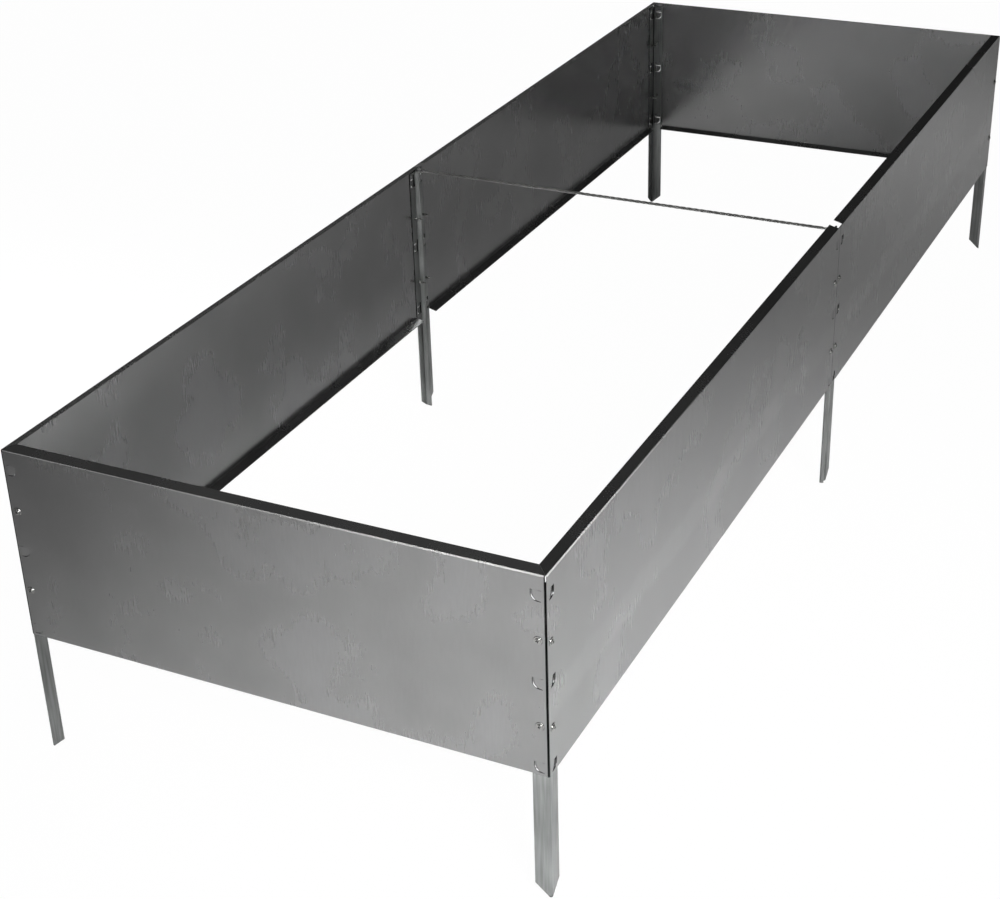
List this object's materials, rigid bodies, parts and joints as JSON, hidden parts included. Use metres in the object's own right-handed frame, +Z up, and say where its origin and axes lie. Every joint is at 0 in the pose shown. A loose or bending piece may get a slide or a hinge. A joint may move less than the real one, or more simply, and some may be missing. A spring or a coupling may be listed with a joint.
{
  "type": "raised garden bed frame",
  "caption": "Open rectangular garden-bed frame of folded galvanised sheet panels, hooked and screwed to pointed ground stakes, with a twisted wire tie across the middle.",
  "frame": {"origin": "under the middle of the bed, level with the points of the stakes", "axes": "+Z up, +Y along the bed from the front end to the rear end, +X to the right seen from the front"},
  "size_m": [0.6846, 2.0046, 0.4199],
  "materials": {
    "galvanised_sheet": "hot-dip zinc, dull sheen",
    "galvanised_stake": "hot-dip zinc, dull sheen",
    "zinc_screw": "bright zinc plate",
    "tie_wire": "zinc-coated drawn wire"
  },
  "bodies": {
    "bed": {"front_end_panel": "galvanised_sheet", "front_end_screws_at_front_left": "zinc_screw", "front_end_screws_at_front_right": "zinc_screw", "front_left_stake": "galvanised_stake", "front_right_stake": "galvanised_stake", "left_front_panel": "galvanised_sheet", "left_front_screws_at_front_left": "zinc_screw", "left_front_screws_at_left_mid": "zinc_screw", "left_mid_stake": "galvanised_stake", "left_rear_panel": "galvanised_sheet", "left_rear_screws_at_left_mid": "zinc_screw", "left_rear_screws_at_rear_left": "zinc_screw", "rear_end_panel": "galvanised_sheet", "rear_end_screws_at_rear_left": "zinc_screw", "rear_end_screws_at_rear_right": "zinc_screw", "rear_left_stake": "galvanised_stake", "rear_right_stake": "galvanised_stake", "right_front_panel": "galvanised_sheet", "right_front_screws_at_front_right": "zinc_screw", "right_front_screws_at_right_mid": "zinc_screw", "right_mid_stake": "galvanised_stake", "right_rear_panel": "galvanised_sheet", "right_rear_screws_at_rear_right": "zinc_screw", "right_rear_screws_at_right_mid": "zinc_screw"},
    "tie": {"tie_left_eye": "tie_wire", "tie_right_eye": "tie_wire", "tie_strand_a": "tie_wire", "tie_strand_b": "tie_wire"}
  },
  "joints": [
    {"name": "tie_lift", "type": "slide", "parent": "bed", "child": "tie", "axis": [0, 0, 1], "range_m": [0, 0.015]}
  ]
}
